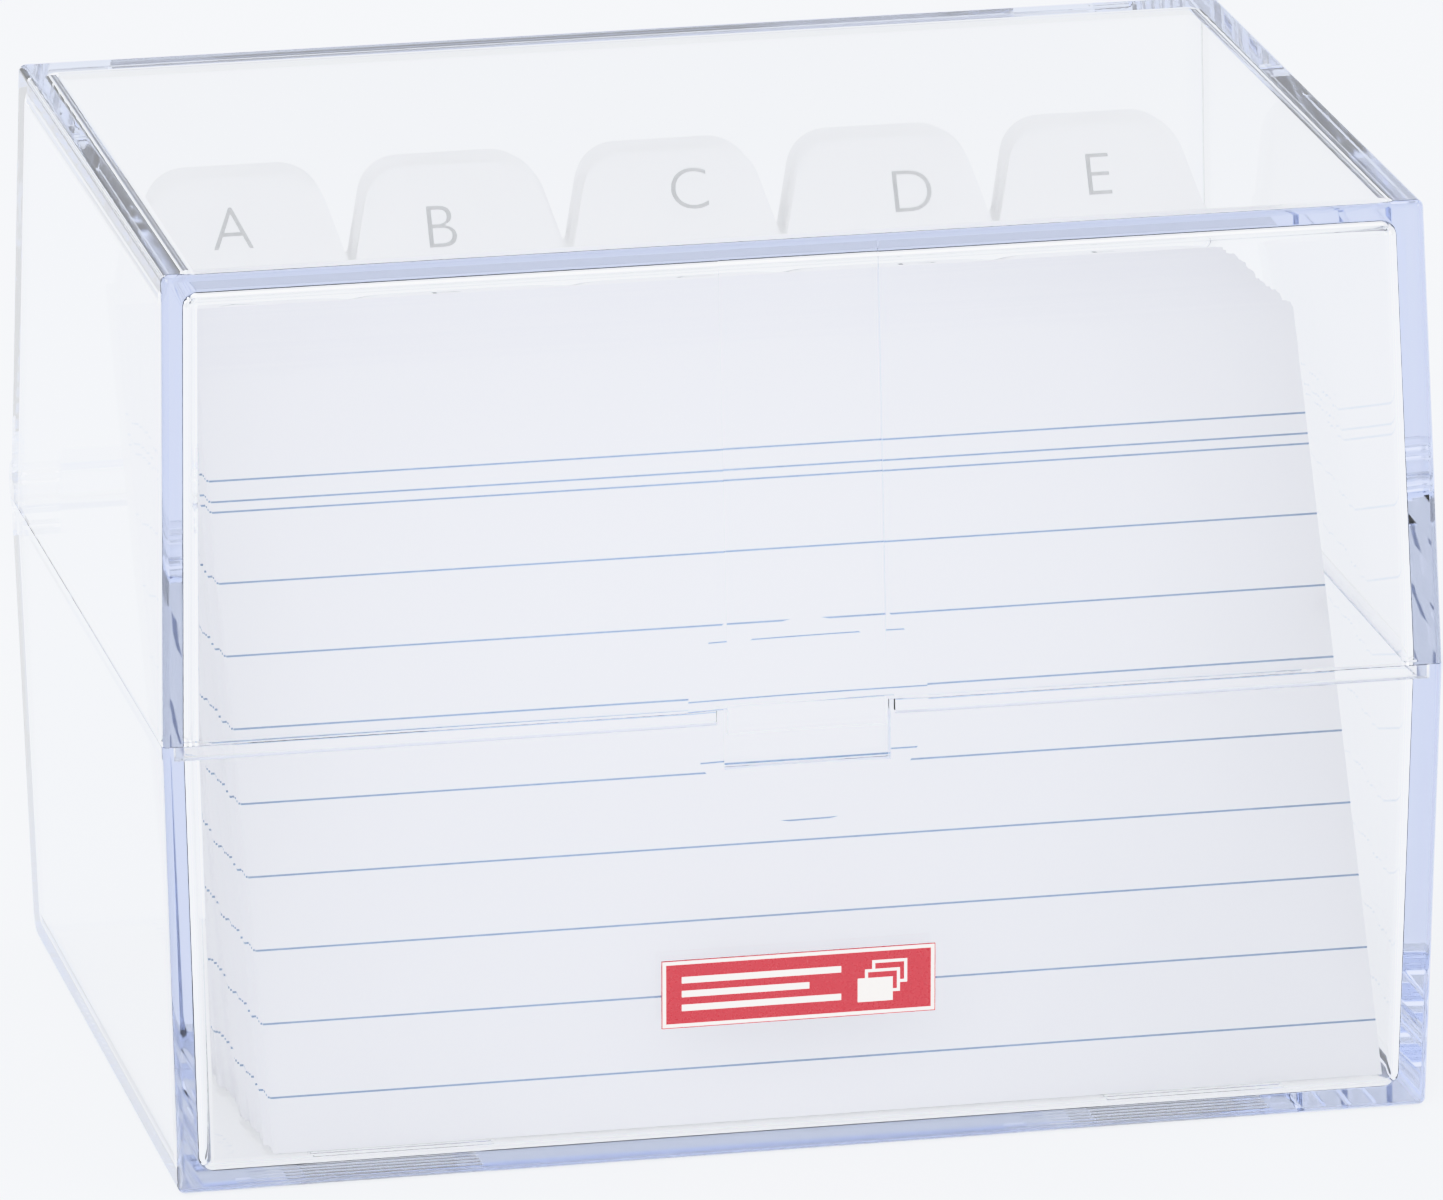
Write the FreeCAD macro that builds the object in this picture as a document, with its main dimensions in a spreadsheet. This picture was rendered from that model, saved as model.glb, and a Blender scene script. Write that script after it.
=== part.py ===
import FreeCAD, Part
import math
import os
import Sketcher
from FreeCAD import Placement, Rotation, Vector

# A hinged card-index box in clear moulded polystyrene for ruled A7 cards, with a 25-leaf A to Z register.
# Frame: millimetres, +Z up, the latch on the front at -Y, X to the right, and the origin in the middle of
# the underside. The two shells meet at the parting height, where the box is widest: both are drafted.

SIZES = {
    # outer box, measured over the parting line
    "box_width": 120.0,
    "box_depth": 87.5,
    "parting_height": 43.3,
    "box_height": 86.8,
    "rim_gap": 0.08,
    # draft of each outer face, as sideways run per unit of height
    "base_side_slope": 0.0226,
    "base_front_slope": 0.0366,
    "base_back_slope": 0.055,
    "lid_side_slope": 0.0284,
    "lid_front_slope": 0.0725,
    "lid_back_slope": 0.058,
    # mouldings
    "wall": 2.2,
    "floor_thickness": 1.5,
    "edge_radius": 0.7,
    "back_foot_radius": 2.4,
    "inner_radius": 1.5,
    # lid lip and the rabbet of the base that takes it
    "lip_thickness": 0.85,
    "lip_height": 1.35,
    "rabbet_width": 1.05,
    "rabbet_depth": 1.5,
    "lip_back_margin": 10.0,
    # latch: recessed strip up the lid, its tongue, and the pocket of the base behind the tongue
    "strip_width": 14.9,
    "strip_depth": 0.4,
    "strip_top_margin": 0.8,
    "tongue_thickness": 1.1,
    "tongue_reach": 2.5,
    "pocket_width": 15.6,
    "pocket_depth": 1.6,
    "pocket_drop": 5.7,
    "latch_margin": 0.6,
    "dish_radius": 75.0,
    "dish_depth": 0.85,
    # hinge
    "barrel_radius": 2.5,
    "barrel_clearance": 0.3,
    "axis_behind": 1.9,
    "axis_above": 0.4,
    "ear_inset": 0.6,
    "ear_width": 6.0,
    "knuckle_width": 8.0,
    "hinge_end_gap": 0.2,
    "stud_radius": 1.15,
    "bore_radius": 1.2,
    "stud_inset": 0.25,
    "web_rise": 2.5,
    # ribs that stop the cards sliding on the floor
    "rib_width": 0.8,
    "rib_height": 0.35,
    "rib_pitch": 1.6,
    "rib_inner_end": 29.0,
    "rib_outer_end": 46.0,
    "rib_count": 48,
    "rib_edge_margin": 1.27,
    # ruled A7 cards
    "card_width": 105.0,
    "card_height": 74.0,
    "card_thickness": 0.215,
    "leaf_gap": 0.012,
    "front_card_clearance": 3.0,
    "rest_clearance": 0.03,
    "lean_angle": 28.5,
    "pack_shift": 3.85,
    "pack_drift": 1.6,
    "card_scatter": 0.5,
    "bundle_scatter": 0.6,
    # register leaves
    "leaf_thickness": 0.2,
    "leaf_height": 74.5,
    "tab_height": 9.5,
    "tab_pitch": 21.0,
    "tab_top_width": 15.4,
    "tab_foot_width": 20.4,
    "tab_shoulder_radius": 4.2,
    "tab_valley_radius": 0.9,
    # label on the base's front
    "label_width": 25.8,
    "label_height": 6.6,
    "label_thickness": 0.1,
    "label_middle": -0.9,
    "label_foot": 12.9,
    "label_gap": 0.01,
}

BUNDLES = 10
CARDS_PER_BUNDLE = 10
LETTER_ROWS = (
    ("A", "B", "C", "D", "E"),
    ("F", "G", "H", "I", "J"),
    ("K", "L", "M", "N", "O"),
    ("P", "Q", "R", "S", "T"),
    ("U", "V", "W", "XY", "Z"),
)
MIDDLE_COLUMN = 2
GOLDEN_TURN = math.pi * (3.0 - math.sqrt(5.0))

# Two positions closer than this, in millimetres, are the same one.
COINCIDENCE = 0.01

# Expressions that several pieces share, in the sheet's own terms.
LID_FOOT = "Sizes.parting_height + Sizes.rim_gap"
LID_RISE = f"(Sizes.box_height - {LID_FOOT})"
HALF_WIDTH = "Sizes.box_width / 2"
HALF_DEPTH = "Sizes.box_depth / 2"
AXIS_Y = f"{HALF_DEPTH} + Sizes.axis_behind"
AXIS_Z = "Sizes.parting_height + Sizes.axis_above"
EAR_OUTER = f"({HALF_WIDTH} - Sizes.ear_inset)"
EAR_INNER = f"({EAR_OUTER} - Sizes.ear_width)"
KNUCKLE_OUTER = f"({EAR_INNER} - Sizes.hinge_end_gap)"

doc = FreeCAD.newDocument("card_index_box")


# ---------------------------------------------------------------- sheet and drawing helpers


def make_sheet():
    """Writes the driving dimensions as plain numbers, each with its alias."""
    made = doc.addObject("Spreadsheet::Sheet", "Sizes")
    for row, (alias, value) in enumerate(SIZES.items(), start=1):
        made.set(f"A{row}", alias)
        made.set(f"B{row}", str(value))
        made.setAlias(f"B{row}", alias)
    doc.recompute()
    return made


sheet = make_sheet()


def size(alias):
    return float(sheet.get(alias))


def new_body(label):
    made = doc.addObject("PartDesign::Body", label)
    made.Label = label
    return made


def origin_plane(body, role):
    return next(item for item in body.Origin.OriginFeatures if item.Role == role)


def new_sketch(body, name, role, offset="0"):
    """A sketch on one of the body's own planes, moved along that plane's normal by an expression."""
    sketch = body.newObject("Sketcher::SketchObject", name)
    sketch.AttachmentSupport = [(origin_plane(body, role), "")]
    sketch.MapMode = "FlatFace"
    sketch.setExpression("AttachmentOffset.Base.z", offset)
    return sketch


def worth(expression):
    """The number that an expression in the sheet's terms has now."""
    return float(sheet.evalExpression(expression))


def bind(sketch, constraint, name, expression):
    """Adds one driving constraint, with a name of its own, that follows an expression."""
    index = sketch.addConstraint(constraint)
    sketch.renameConstraint(index, name)
    sketch.setExpression(f"Constraints.{name}", expression)


def pin_point(sketch, geometry, point, name, across, up):
    """Holds one sketch point at two expressions."""
    for kind, axis, expression in (("DistanceX", "across", across), ("DistanceY", "up", up)):
        constraint = Sketcher.Constraint(kind, -1, 1, geometry, point, worth(expression))
        bind(sketch, constraint, f"{name}_{axis}", expression)


def polygon(sketch, points):
    """A closed outline of straight lines through points given as pairs of expressions."""
    corners = [Vector(worth(across), worth(up)) for across, up in points]
    count = len(corners)
    first = sketch.GeometryCount
    for i in range(count):
        sketch.addGeometry(Part.LineSegment(corners[i], corners[(i + 1) % count]))
    for i, (across, up) in enumerate(points):
        sketch.addConstraint(Sketcher.Constraint("Coincident", first + (i - 1) % count, 2, first + i, 1))
        pin_point(sketch, first + i, 1, f"p{first + i}", across, up)


def rectangle(sketch, left, right, low, high):
    polygon(sketch, [(left, low), (right, low), (right, high), (left, high)])


def circle(sketch, across, up, radius):
    middle = Vector(worth(across), worth(up))
    made = sketch.addGeometry(Part.Circle(middle, Vector(0, 0, 1), worth(radius)))
    pin_point(sketch, made, 3, "middle", across, up)
    bind(sketch, Sketcher.Constraint("Radius", made, worth(radius)), "radius", radius)


def slot(sketch, left, right, up, radius):
    """A long outline with half-round ends, whose two centres are given."""
    x0, x1, y, r = worth(left), worth(right), worth(up), worth(radius)
    normal = Vector(0, 0, 1)
    quarter = math.pi / 2
    lower = sketch.addGeometry(Part.LineSegment(Vector(x0, y - r), Vector(x1, y - r)))
    end = sketch.addGeometry(Part.ArcOfCircle(Part.Circle(Vector(x1, y), normal, r), -quarter, quarter))
    upper = sketch.addGeometry(Part.LineSegment(Vector(x1, y + r), Vector(x0, y + r)))
    start = sketch.addGeometry(Part.ArcOfCircle(Part.Circle(Vector(x0, y), normal, r), quarter, 3 * quarter))
    for one, other in ((lower, end), (end, upper), (upper, start), (start, lower)):
        sketch.addConstraint(Sketcher.Constraint("Tangent", one, 2, other, 1))
    pin_point(sketch, start, 3, f"start{start}", left, up)
    pin_point(sketch, end, 3, f"end{end}", right, up)
    bind(sketch, Sketcher.Constraint("Radius", end, r), f"radius{end}", radius)


def wedge(body, kind, name, low, high, low_plan, high_plan):
    """A tapered box between two heights, whose plan at each is given as (half width, front, back)."""
    made = body.newObject(f"PartDesign::{kind}", name)
    made.AttachmentSupport = [(origin_plane(body, "XY_Plane"), "")]
    made.MapMode = "FlatFace"
    made.AttachmentOffset = Placement(Vector(0, 0, 0), Rotation(Vector(1, 0, 0), 90))
    made.setExpression("Ymin", low)
    made.setExpression("Ymax", high)
    for prefix, (half_width, front, back) in (("", low_plan), ("2", high_plan)):
        made.setExpression(f"X{prefix}min", f"-{half_width}")
        made.setExpression(f"X{prefix}max", half_width)
        made.setExpression(f"Z{prefix}min", f"-{back}")
        made.setExpression(f"Z{prefix}max", front)
    return made


def plan(shell, rise, inset="0"):
    """A shell's plan at a distance from the parting line: (half width, front, back), all positive."""
    width = f"({HALF_WIDTH} - Sizes.{shell}_side_slope * {rise} - {inset})"
    front = f"({HALF_DEPTH} - Sizes.{shell}_front_slope * {rise} - {inset})"
    back = f"({HALF_DEPTH} - Sizes.{shell}_back_slope * {rise} - {inset})"
    return width, front, back


def prism(body, kind, name, sketch, length, reverse=False, middle=False):
    """A Pad or a Pocket of one sketch."""
    made = body.newObject(f"PartDesign::{kind}", name)
    made.Profile = (sketch, [""])
    made.setExpression("Length", length)
    made.Reversed = reverse
    made.SideType = "Symmetric" if middle else "One side"
    return made


def mirrored(body, name, features):
    """Repeats features on the other side of the box's middle plane."""
    doc.recompute()
    made = body.newObject("PartDesign::Mirrored", name)
    made.Originals = features
    made.MirrorPlane = (origin_plane(body, "YZ_Plane"), [""])
    body.Tip = made
    doc.recompute()
    return made


def fillet(body, name, radius, test):
    """Rounds each edge of the body so far whose bounding box passes the test."""
    doc.recompute()
    base = body.Tip
    names = [f"Edge{i}" for i, edge in enumerate(base.Shape.Edges, start=1) if test(edge.BoundBox)]
    if not names:
        raise RuntimeError(f"{body.Label}.{name}: no edge to round")
    made = body.newObject("PartDesign::Fillet", name)
    made.Base = (base, names)
    made.setExpression("Radius", radius)
    doc.recompute()
    return made


# ---------------------------------------------------------------- hinge parts that both shells use


def hinge_sketch(body, name, outer_end):
    """A sketch across the hinge axis, at the left end whose distance from the middle is given."""
    return new_sketch(body, name, "YZ_Plane", f"-{outer_end}")


def hinge_cylinder(body, kind, name, radius, outer_end, length):
    sketch = hinge_sketch(body, f"{name}_sketch", outer_end)
    circle(sketch, AXIS_Y, AXIS_Z, radius)
    return prism(body, kind, name, sketch, length, reverse=(kind == "Pocket"))


def hinge_web(body, name, foot, direction, outer_end, length):
    """The gusset from a barrel to its shell's back wall, above or below the parting height."""
    sketch = hinge_sketch(body, f"{name}_sketch", outer_end)
    inside = f"{HALF_DEPTH} - Sizes.wall / 2"
    polygon(
        sketch,
        [
            (inside, foot),
            (AXIS_Y, foot),
            (AXIS_Y, f"{AXIS_Z} {direction} Sizes.barrel_radius"),
            (inside, f"{AXIS_Z} {direction} (Sizes.barrel_radius + Sizes.web_rise)"),
        ],
    )
    return prism(body, "Pad", name, sketch, length)


def thumb_dish(body, slope, direction):
    """A shallow ball-shaped hollow, square to the sloping front face and centred on the parting line."""
    dish = body.newObject("PartDesign::SubtractiveSphere", "thumb_dish")
    dish.AttachmentSupport = [(origin_plane(body, "XY_Plane"), "")]
    dish.MapMode = "FlatFace"
    dish.setExpression("Radius", "Sizes.dish_radius")
    tilt = f"atan({slope})"
    reach = "(Sizes.dish_radius - Sizes.dish_depth)"
    dish.setExpression("AttachmentOffset.Base.y", f"-{HALF_DEPTH} - {reach} * cos({tilt})")
    dish.setExpression("AttachmentOffset.Base.z", f"{LID_FOOT} {direction} {reach} * sin({tilt})")
    return dish


# ---------------------------------------------------------------- base shell


def base_shell():
    body = new_body("base_shell")
    rim = "Sizes.parting_height"
    floor_z = "Sizes.floor_thickness"

    # outside: widest at the rim, rounded at the foot
    wedge(body, "AdditiveWedge", "outside", "0", rim, plan("base", rim), plan("base", "0"))
    parting = size("parting_height")
    back_foot_y = size("box_depth") / 2 - size("base_back_slope") * parting
    fillet(
        body,
        "back_foot_round",
        "Sizes.back_foot_radius",
        lambda box: box.ZMax < COINCIDENCE and box.YMin > back_foot_y - COINCIDENCE,
    )
    fillet(
        body,
        "outer_rounds",
        "Sizes.edge_radius",
        lambda box: is_outer_edge(box, 0.0, parting, back_foot_y),
    )

    # inside: an even wall, with a rounded floor
    low_plan = plan("base", f"({rim} - {floor_z})", "Sizes.wall")
    wedge(body, "SubtractiveWedge", "inside", floor_z, rim, low_plan, plan("base", "0", "Sizes.wall"))
    low = size("floor_thickness")
    fillet(body, "inner_rounds", "Sizes.inner_radius", lambda box: is_inner_edge(box, low, parting))

    add_ribs(body)
    add_rabbet(body)
    add_latch_pocket(body)
    thumb_dish(body, "Sizes.base_front_slope", "-")
    add_ears(body)
    return body


def is_outer_edge(box, closed_z, open_z, flat_back):
    """An edge of the outside other than the rim and other than the two ends of the rounded back foot."""
    on_rim = abs(box.ZMin - open_z) < COINCIDENCE and abs(box.ZMax - open_z) < COINCIDENCE
    round_start = flat_back - 2 * size("back_foot_radius")
    along_back_round = box.XLength > size("box_width") / 2 and box.YMin > round_start
    return not on_rim and not (along_back_round and closed_z == 0.0)


def is_inner_edge(box, closed_z, open_z):
    """An edge of the hollow that isn't on the rim."""
    inside_x = size("box_width") / 2 - size("wall") + COINCIDENCE
    inside_y = size("box_depth") / 2 - size("wall") + COINCIDENCE
    within = max(abs(box.XMin), abs(box.XMax)) < inside_x and max(abs(box.YMin), abs(box.YMax)) < inside_y
    low, high = min(closed_z, open_z), max(closed_z, open_z)
    between = box.ZMin > low - COINCIDENCE and box.ZMax < high + COINCIDENCE
    on_rim = abs(box.ZMin - open_z) < COINCIDENCE and abs(box.ZMax - open_z) < COINCIDENCE
    return within and between and not on_rim


def add_ribs(body):
    """Two ladders of low ribs across the floor."""
    sketch = new_sketch(body, "rib_outline", "XY_Plane", "Sizes.floor_thickness")
    first_y = (
        f"-({HALF_DEPTH} - Sizes.wall - Sizes.base_front_slope * (Sizes.parting_height - Sizes.floor_thickness)"
        " - Sizes.rib_edge_margin)"
    )
    end_radius = "Sizes.rib_width / 2"
    near = f"Sizes.rib_inner_end + {end_radius}"
    far = f"Sizes.rib_outer_end - {end_radius}"
    slot(sketch, f"-({far})", f"-({near})", first_y, end_radius)
    slot(sketch, near, far, first_y, end_radius)
    rib = prism(body, "Pad", "rib", sketch, "Sizes.rib_height")
    doc.recompute()
    ladder = body.newObject("PartDesign::LinearPattern", "rib_ladder")
    ladder.Originals = [rib]
    ladder.Direction = (sketch, ["V_Axis"])
    ladder.Mode = "Spacing"
    ladder.setExpression("Offset", "Sizes.rib_pitch")
    ladder.setExpression("Occurrences", "Sizes.rib_count")
    body.Tip = ladder
    doc.recompute()


def half_lip_outline(sketch, outer_inset, inner_inset):
    """The left half of the lip's plan: along the side wall and round to the latch."""
    side_outer = f"-({HALF_WIDTH} - {outer_inset})"
    side_inner = f"-({HALF_WIDTH} - {inner_inset})"
    front_outer = f"-({HALF_DEPTH} - {outer_inset})"
    front_inner = f"-({HALF_DEPTH} - {inner_inset})"
    back = f"{HALF_DEPTH} - Sizes.lip_back_margin"
    latch = "-(Sizes.pocket_width / 2 + Sizes.latch_margin)"
    polygon(
        sketch,
        [
            (side_outer, back),
            (side_outer, front_outer),
            (latch, front_outer),
            (latch, front_inner),
            (side_inner, front_inner),
            (side_inner, back),
        ],
    )


def add_rabbet(body):
    sketch = new_sketch(body, "rabbet_outline", "XY_Plane", "Sizes.parting_height")
    half_lip_outline(sketch, "(Sizes.wall - Sizes.rabbet_width)", "(Sizes.wall + Sizes.latch_margin)")
    cut = prism(body, "Pocket", "rabbet", sketch, "Sizes.rabbet_depth")
    mirrored(body, "rabbet_pair", [cut])


def add_latch_pocket(body):
    sketch = new_sketch(body, "latch_pocket_outline", "YZ_Plane")
    back = f"-({HALF_DEPTH} - Sizes.pocket_depth)"
    rectangle(
        sketch,
        f"-({HALF_DEPTH} + Sizes.wall)",
        back,
        "Sizes.parting_height - Sizes.pocket_drop",
        "Sizes.parting_height + Sizes.wall",
    )
    prism(body, "Pocket", "latch_pocket", sketch, "Sizes.pocket_width", middle=True)
    doc.recompute()


def add_ears(body):
    """End ears with through bores for the lid's studs, and notches that clear the lid's knuckles."""
    notch_radius = "Sizes.barrel_radius + Sizes.barrel_clearance"
    notch_length = "Sizes.knuckle_width + 2 * Sizes.hinge_end_gap"
    notch = hinge_cylinder(body, "Pocket", "knuckle_notch", notch_radius, EAR_INNER, notch_length)
    web = hinge_web(body, "ear_web", "Sizes.parting_height", "-", EAR_OUTER, "Sizes.ear_width")
    barrel = hinge_cylinder(body, "Pad", "ear_barrel", "Sizes.barrel_radius", EAR_OUTER, "Sizes.ear_width")
    bore = hinge_cylinder(body, "Pocket", "ear_bore", "Sizes.bore_radius", EAR_OUTER, "Sizes.ear_width")
    mirrored(body, "ear_pair", [notch, web, barrel, bore])


# ---------------------------------------------------------------- lid shell


def lid_shell():
    body = new_body("lid_shell")
    # outside: widest at the rim, rounded round the top
    foot_plan = plan("lid", "0")
    top_plan = plan("lid", LID_RISE)
    wedge(body, "AdditiveWedge", "outside", LID_FOOT, "Sizes.box_height", foot_plan, top_plan)
    rim_z = size("parting_height") + size("rim_gap")
    top_z = size("box_height")
    fillet(body, "outer_rounds", "Sizes.edge_radius", lambda box: is_outer_edge(box, top_z, rim_z, top_z))

    # inside: an even wall, with a rounded ceiling
    ceiling = "Sizes.box_height - Sizes.wall"
    ceiling_plan = plan("lid", f"({LID_RISE} - Sizes.wall)", "Sizes.wall")
    wedge(body, "SubtractiveWedge", "inside", LID_FOOT, ceiling, plan("lid", "0", "Sizes.wall"), ceiling_plan)
    ceiling_z = top_z - size("wall")
    fillet(body, "inner_rounds", "Sizes.inner_radius", lambda box: is_inner_edge(box, ceiling_z, rim_z))

    add_lip(body)
    add_latch_strip(body)
    thumb_dish(body, "Sizes.lid_front_slope", "+")
    add_knuckles(body)
    return body


def add_lip(body):
    """A thin lip inside the rim that drops into the base's rabbet."""
    sketch = new_sketch(body, "lip_outline", "XY_Plane", LID_FOOT)
    half_lip_outline(sketch, "(Sizes.wall - Sizes.lip_thickness)", "Sizes.wall")
    lip = prism(body, "Pad", "lip", sketch, "Sizes.lip_height", reverse=True)
    mirrored(body, "lip_pair", [lip])


def add_latch_strip(body):
    """A shallow strip sunk into the front face, running on below the rim as the tongue."""
    strip_sketch = new_sketch(body, "strip_outline", "YZ_Plane")
    strip_top = f"({LID_RISE} - Sizes.strip_top_margin)"
    face_foot = f"-({HALF_DEPTH} - Sizes.strip_depth)"
    face_top = f"-({HALF_DEPTH} - Sizes.strip_depth - Sizes.lid_front_slope * {strip_top})"
    outside = f"-({HALF_DEPTH} + Sizes.wall)"
    polygon(
        strip_sketch,
        [
            (outside, LID_FOOT),
            (face_foot, LID_FOOT),
            (face_top, f"{LID_FOOT} + {strip_top}"),
            (outside, f"{LID_FOOT} + {strip_top}"),
        ],
    )
    prism(body, "Pocket", "strip", strip_sketch, "Sizes.strip_width", middle=True)
    doc.recompute()
    tongue_sketch = new_sketch(body, "tongue_outline", "YZ_Plane")
    rectangle(
        tongue_sketch,
        face_foot,
        f"{face_foot} + Sizes.tongue_thickness",
        f"{LID_FOOT} - Sizes.tongue_reach",
        LID_FOOT,
    )
    prism(body, "Pad", "tongue", tongue_sketch, "Sizes.strip_width", middle=True)
    doc.recompute()


def add_knuckles(body):
    """Knuckles with studs that turn in the base's ears, and notches that clear the ears."""
    notch_radius = "Sizes.barrel_radius + Sizes.barrel_clearance"
    notch_length = "Sizes.ear_inset + Sizes.ear_width + Sizes.hinge_end_gap"
    notch = hinge_cylinder(body, "Pocket", "ear_notch", notch_radius, f"({HALF_WIDTH})", notch_length)
    width = "Sizes.knuckle_width"
    web = hinge_web(body, "knuckle_web", LID_FOOT, "+", KNUCKLE_OUTER, width)
    barrel = hinge_cylinder(body, "Pad", "knuckle_barrel", "Sizes.barrel_radius", KNUCKLE_OUTER, width)
    stud_end = f"({EAR_OUTER} - Sizes.stud_inset)"
    stud_length = f"{stud_end} - {KNUCKLE_OUTER}"
    stud = hinge_cylinder(body, "Pad", "stud", "Sizes.stud_radius", stud_end, stud_length)
    mirrored(body, "knuckle_pair", [notch, web, barrel, stud])


# ---------------------------------------------------------------- cards and register


def lean():
    """Turns a leaf's top back from upright to its resting lean."""
    return Rotation(Vector(1, 0, 0), -size("lean_angle"))


def leaf_step(thickness):
    """The distance along the floor from one leaf to the next."""
    return (thickness + size("leaf_gap")) / math.cos(math.radians(size("lean_angle")))


def leaf_rest_z(thickness):
    """The height of a leaf's front lower edge when its back lower edge stands just off the ribs."""
    rib_top = size("floor_thickness") + size("rib_height")
    return rib_top + size("rest_clearance") + thickness * math.sin(math.radians(size("lean_angle")))


def front_card_y():
    drop = size("parting_height") - size("floor_thickness")
    inner_face = -(size("box_depth") / 2 - size("base_front_slope") * drop - size("wall"))
    return inner_face + size("front_card_clearance")


def uneven(number):
    """A fixed scatter between 0 and 1 that never repeats from one leaf to the next."""
    return (1.0 + math.sin(GOLDEN_TURN * number * number)) / 2.0


def card_shift(index):
    """How far a card stands to the right of the middle: a slow drift to the left with an uneven scatter."""
    total = BUNDLES * CARDS_PER_BUNDLE
    drift = size("pack_shift") - size("pack_drift") * index / total
    scatter = size("card_scatter") * uneven(index)
    bundle = size("bundle_scatter") * uneven(index // CARDS_PER_BUNDLE)
    return drift - scatter - bundle


def card_bundle(bundle):
    """Ten separate cards, leaning back one behind the other, as one compound."""
    cards = []
    step = leaf_step(size("card_thickness"))
    rest_z = leaf_rest_z(size("card_thickness"))
    for place in range(CARDS_PER_BUNDLE):
        index = bundle * CARDS_PER_BUNDLE + place
        card = doc.addObject("Part::Box", f"card_{index + 1:03d}")
        card.setExpression("Length", "Sizes.card_width")
        card.setExpression("Width", "Sizes.card_thickness")
        card.setExpression("Height", "Sizes.card_height")
        corner = Vector(card_shift(index) - size("card_width") / 2, front_card_y() + index * step, rest_z)
        card.Placement = Placement(corner, lean())
        cards.append(card)
    made = doc.addObject("Part::Compound", f"cards_{bundle + 1:02d}")
    made.Links = cards
    made.Label = f"cards_{bundle + 1:02d}"
    return made


def register_start_y():
    """Where the first divider stands, close behind the last card although its foot is a little higher."""
    cards_end = front_card_y() + BUNDLES * CARDS_PER_BUNDLE * leaf_step(size("card_thickness"))
    lift = leaf_rest_z(size("leaf_thickness")) - leaf_rest_z(size("card_thickness"))
    return cards_end + lift * math.tan(math.radians(size("lean_angle")))


def register_leaf(row, column):
    """One divider: a sheet as wide as a card, with a round-shouldered tab in its own fifth of the width."""
    letters = LETTER_ROWS[row][column]
    body = new_body(f"divider_{letters}")
    sheet_sketch = new_sketch(body, "sheet_outline", "XZ_Plane")
    rectangle(sheet_sketch, "-Sizes.card_width / 2", "Sizes.card_width / 2", "0", "Sizes.leaf_height")
    prism(body, "Pad", "sheet", sheet_sketch, "Sizes.leaf_thickness", reverse=True)

    middle = f"{column - MIDDLE_COLUMN} * Sizes.tab_pitch"
    tab_top = "Sizes.leaf_height + Sizes.tab_height"
    overlap = "Sizes.leaf_height - Sizes.tab_height"
    tab_sketch = new_sketch(body, "tab_outline", "XZ_Plane")
    polygon(
        tab_sketch,
        [
            (f"{middle} - Sizes.tab_foot_width / 2", overlap),
            (f"{middle} + Sizes.tab_foot_width / 2", overlap),
            (f"{middle} + Sizes.tab_foot_width / 2", "Sizes.leaf_height"),
            (f"{middle} + Sizes.tab_top_width / 2", tab_top),
            (f"{middle} - Sizes.tab_top_width / 2", tab_top),
            (f"{middle} - Sizes.tab_foot_width / 2", "Sizes.leaf_height"),
        ],
    )
    prism(body, "Pad", "tab", tab_sketch, "Sizes.leaf_thickness", reverse=True)
    top_z = size("leaf_height") + size("tab_height")
    foot_z = size("leaf_height")
    middle_x = (column - MIDDLE_COLUMN) * size("tab_pitch")
    room = size("card_width") / 2 - size("tab_pitch") / 2
    fillet(body, "shoulders", "Sizes.tab_shoulder_radius", lambda box: is_cross_edge(box, top_z))
    fillet(
        body,
        "valleys",
        "Sizes.tab_valley_radius",
        lambda box: is_cross_edge(box, foot_z)
        and abs(box.XMin) < room
        and abs(box.XMin - middle_x) < size("tab_pitch") / 2,
    )

    place = row * len(LETTER_ROWS[0]) + column
    y = register_start_y() + place * leaf_step(size("leaf_thickness"))
    shift = size("pack_shift") - size("pack_drift") - size("card_scatter") * uneven(place)
    body.Placement = Placement(Vector(shift, y, leaf_rest_z(size("leaf_thickness"))), lean())
    return body


def is_cross_edge(box, z):
    """A short edge straight through a leaf's thickness at one height."""
    return box.XLength < COINCIDENCE and box.ZLength < COINCIDENCE and abs(box.ZMin - z) < COINCIDENCE


# ---------------------------------------------------------------- label


def front_label():
    """A thin printed label stuck flat on the sloping front of the base."""
    made = doc.addObject("Part::Box", "front_label")
    made.setExpression("Length", "Sizes.label_width")
    made.setExpression("Width", "Sizes.label_thickness")
    made.setExpression("Height", "Sizes.label_height")
    slope = size("base_front_slope")
    foot = size("label_foot")
    face_y = -(size("box_depth") / 2 - slope * (size("parting_height") - foot))
    y = face_y - size("label_thickness") - size("label_gap")
    corner = Vector(size("label_middle") - size("label_width") / 2, y, foot)
    made.Placement = Placement(corner, Rotation(Vector(1, 0, 0), math.degrees(math.atan(slope))))
    made.Label = "front_label"
    return made


# ---------------------------------------------------------------- build, check and export


def build():
    pieces = [base_shell(), lid_shell(), front_label()]
    pieces += [card_bundle(bundle) for bundle in range(BUNDLES)]
    for row, letters in enumerate(LETTER_ROWS):
        pieces += [register_leaf(row, column) for column in range(len(letters))]
    return pieces


def check(pieces):
    for item in doc.Objects:
        if "Invalid" in item.State or "Error" in item.State:
            raise RuntimeError(f"{item.Label} failed: {item.State}")
    for piece in pieces:
        if piece.Shape.isNull() or not piece.Shape.isValid():
            raise RuntimeError(f"{piece.Label} has no valid shape")


pieces = build()
doc.recompute()
check(pieces)
os.makedirs("parts", exist_ok=True)
for piece in pieces:
    piece.Shape.exportStep(f"parts/{piece.Label}.step")
    print(piece.Label, len(piece.Shape.Solids), round(piece.Shape.Volume, 1))
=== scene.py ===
import math

import bmesh
import bpy
from mathutils import Matrix, Vector


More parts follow.
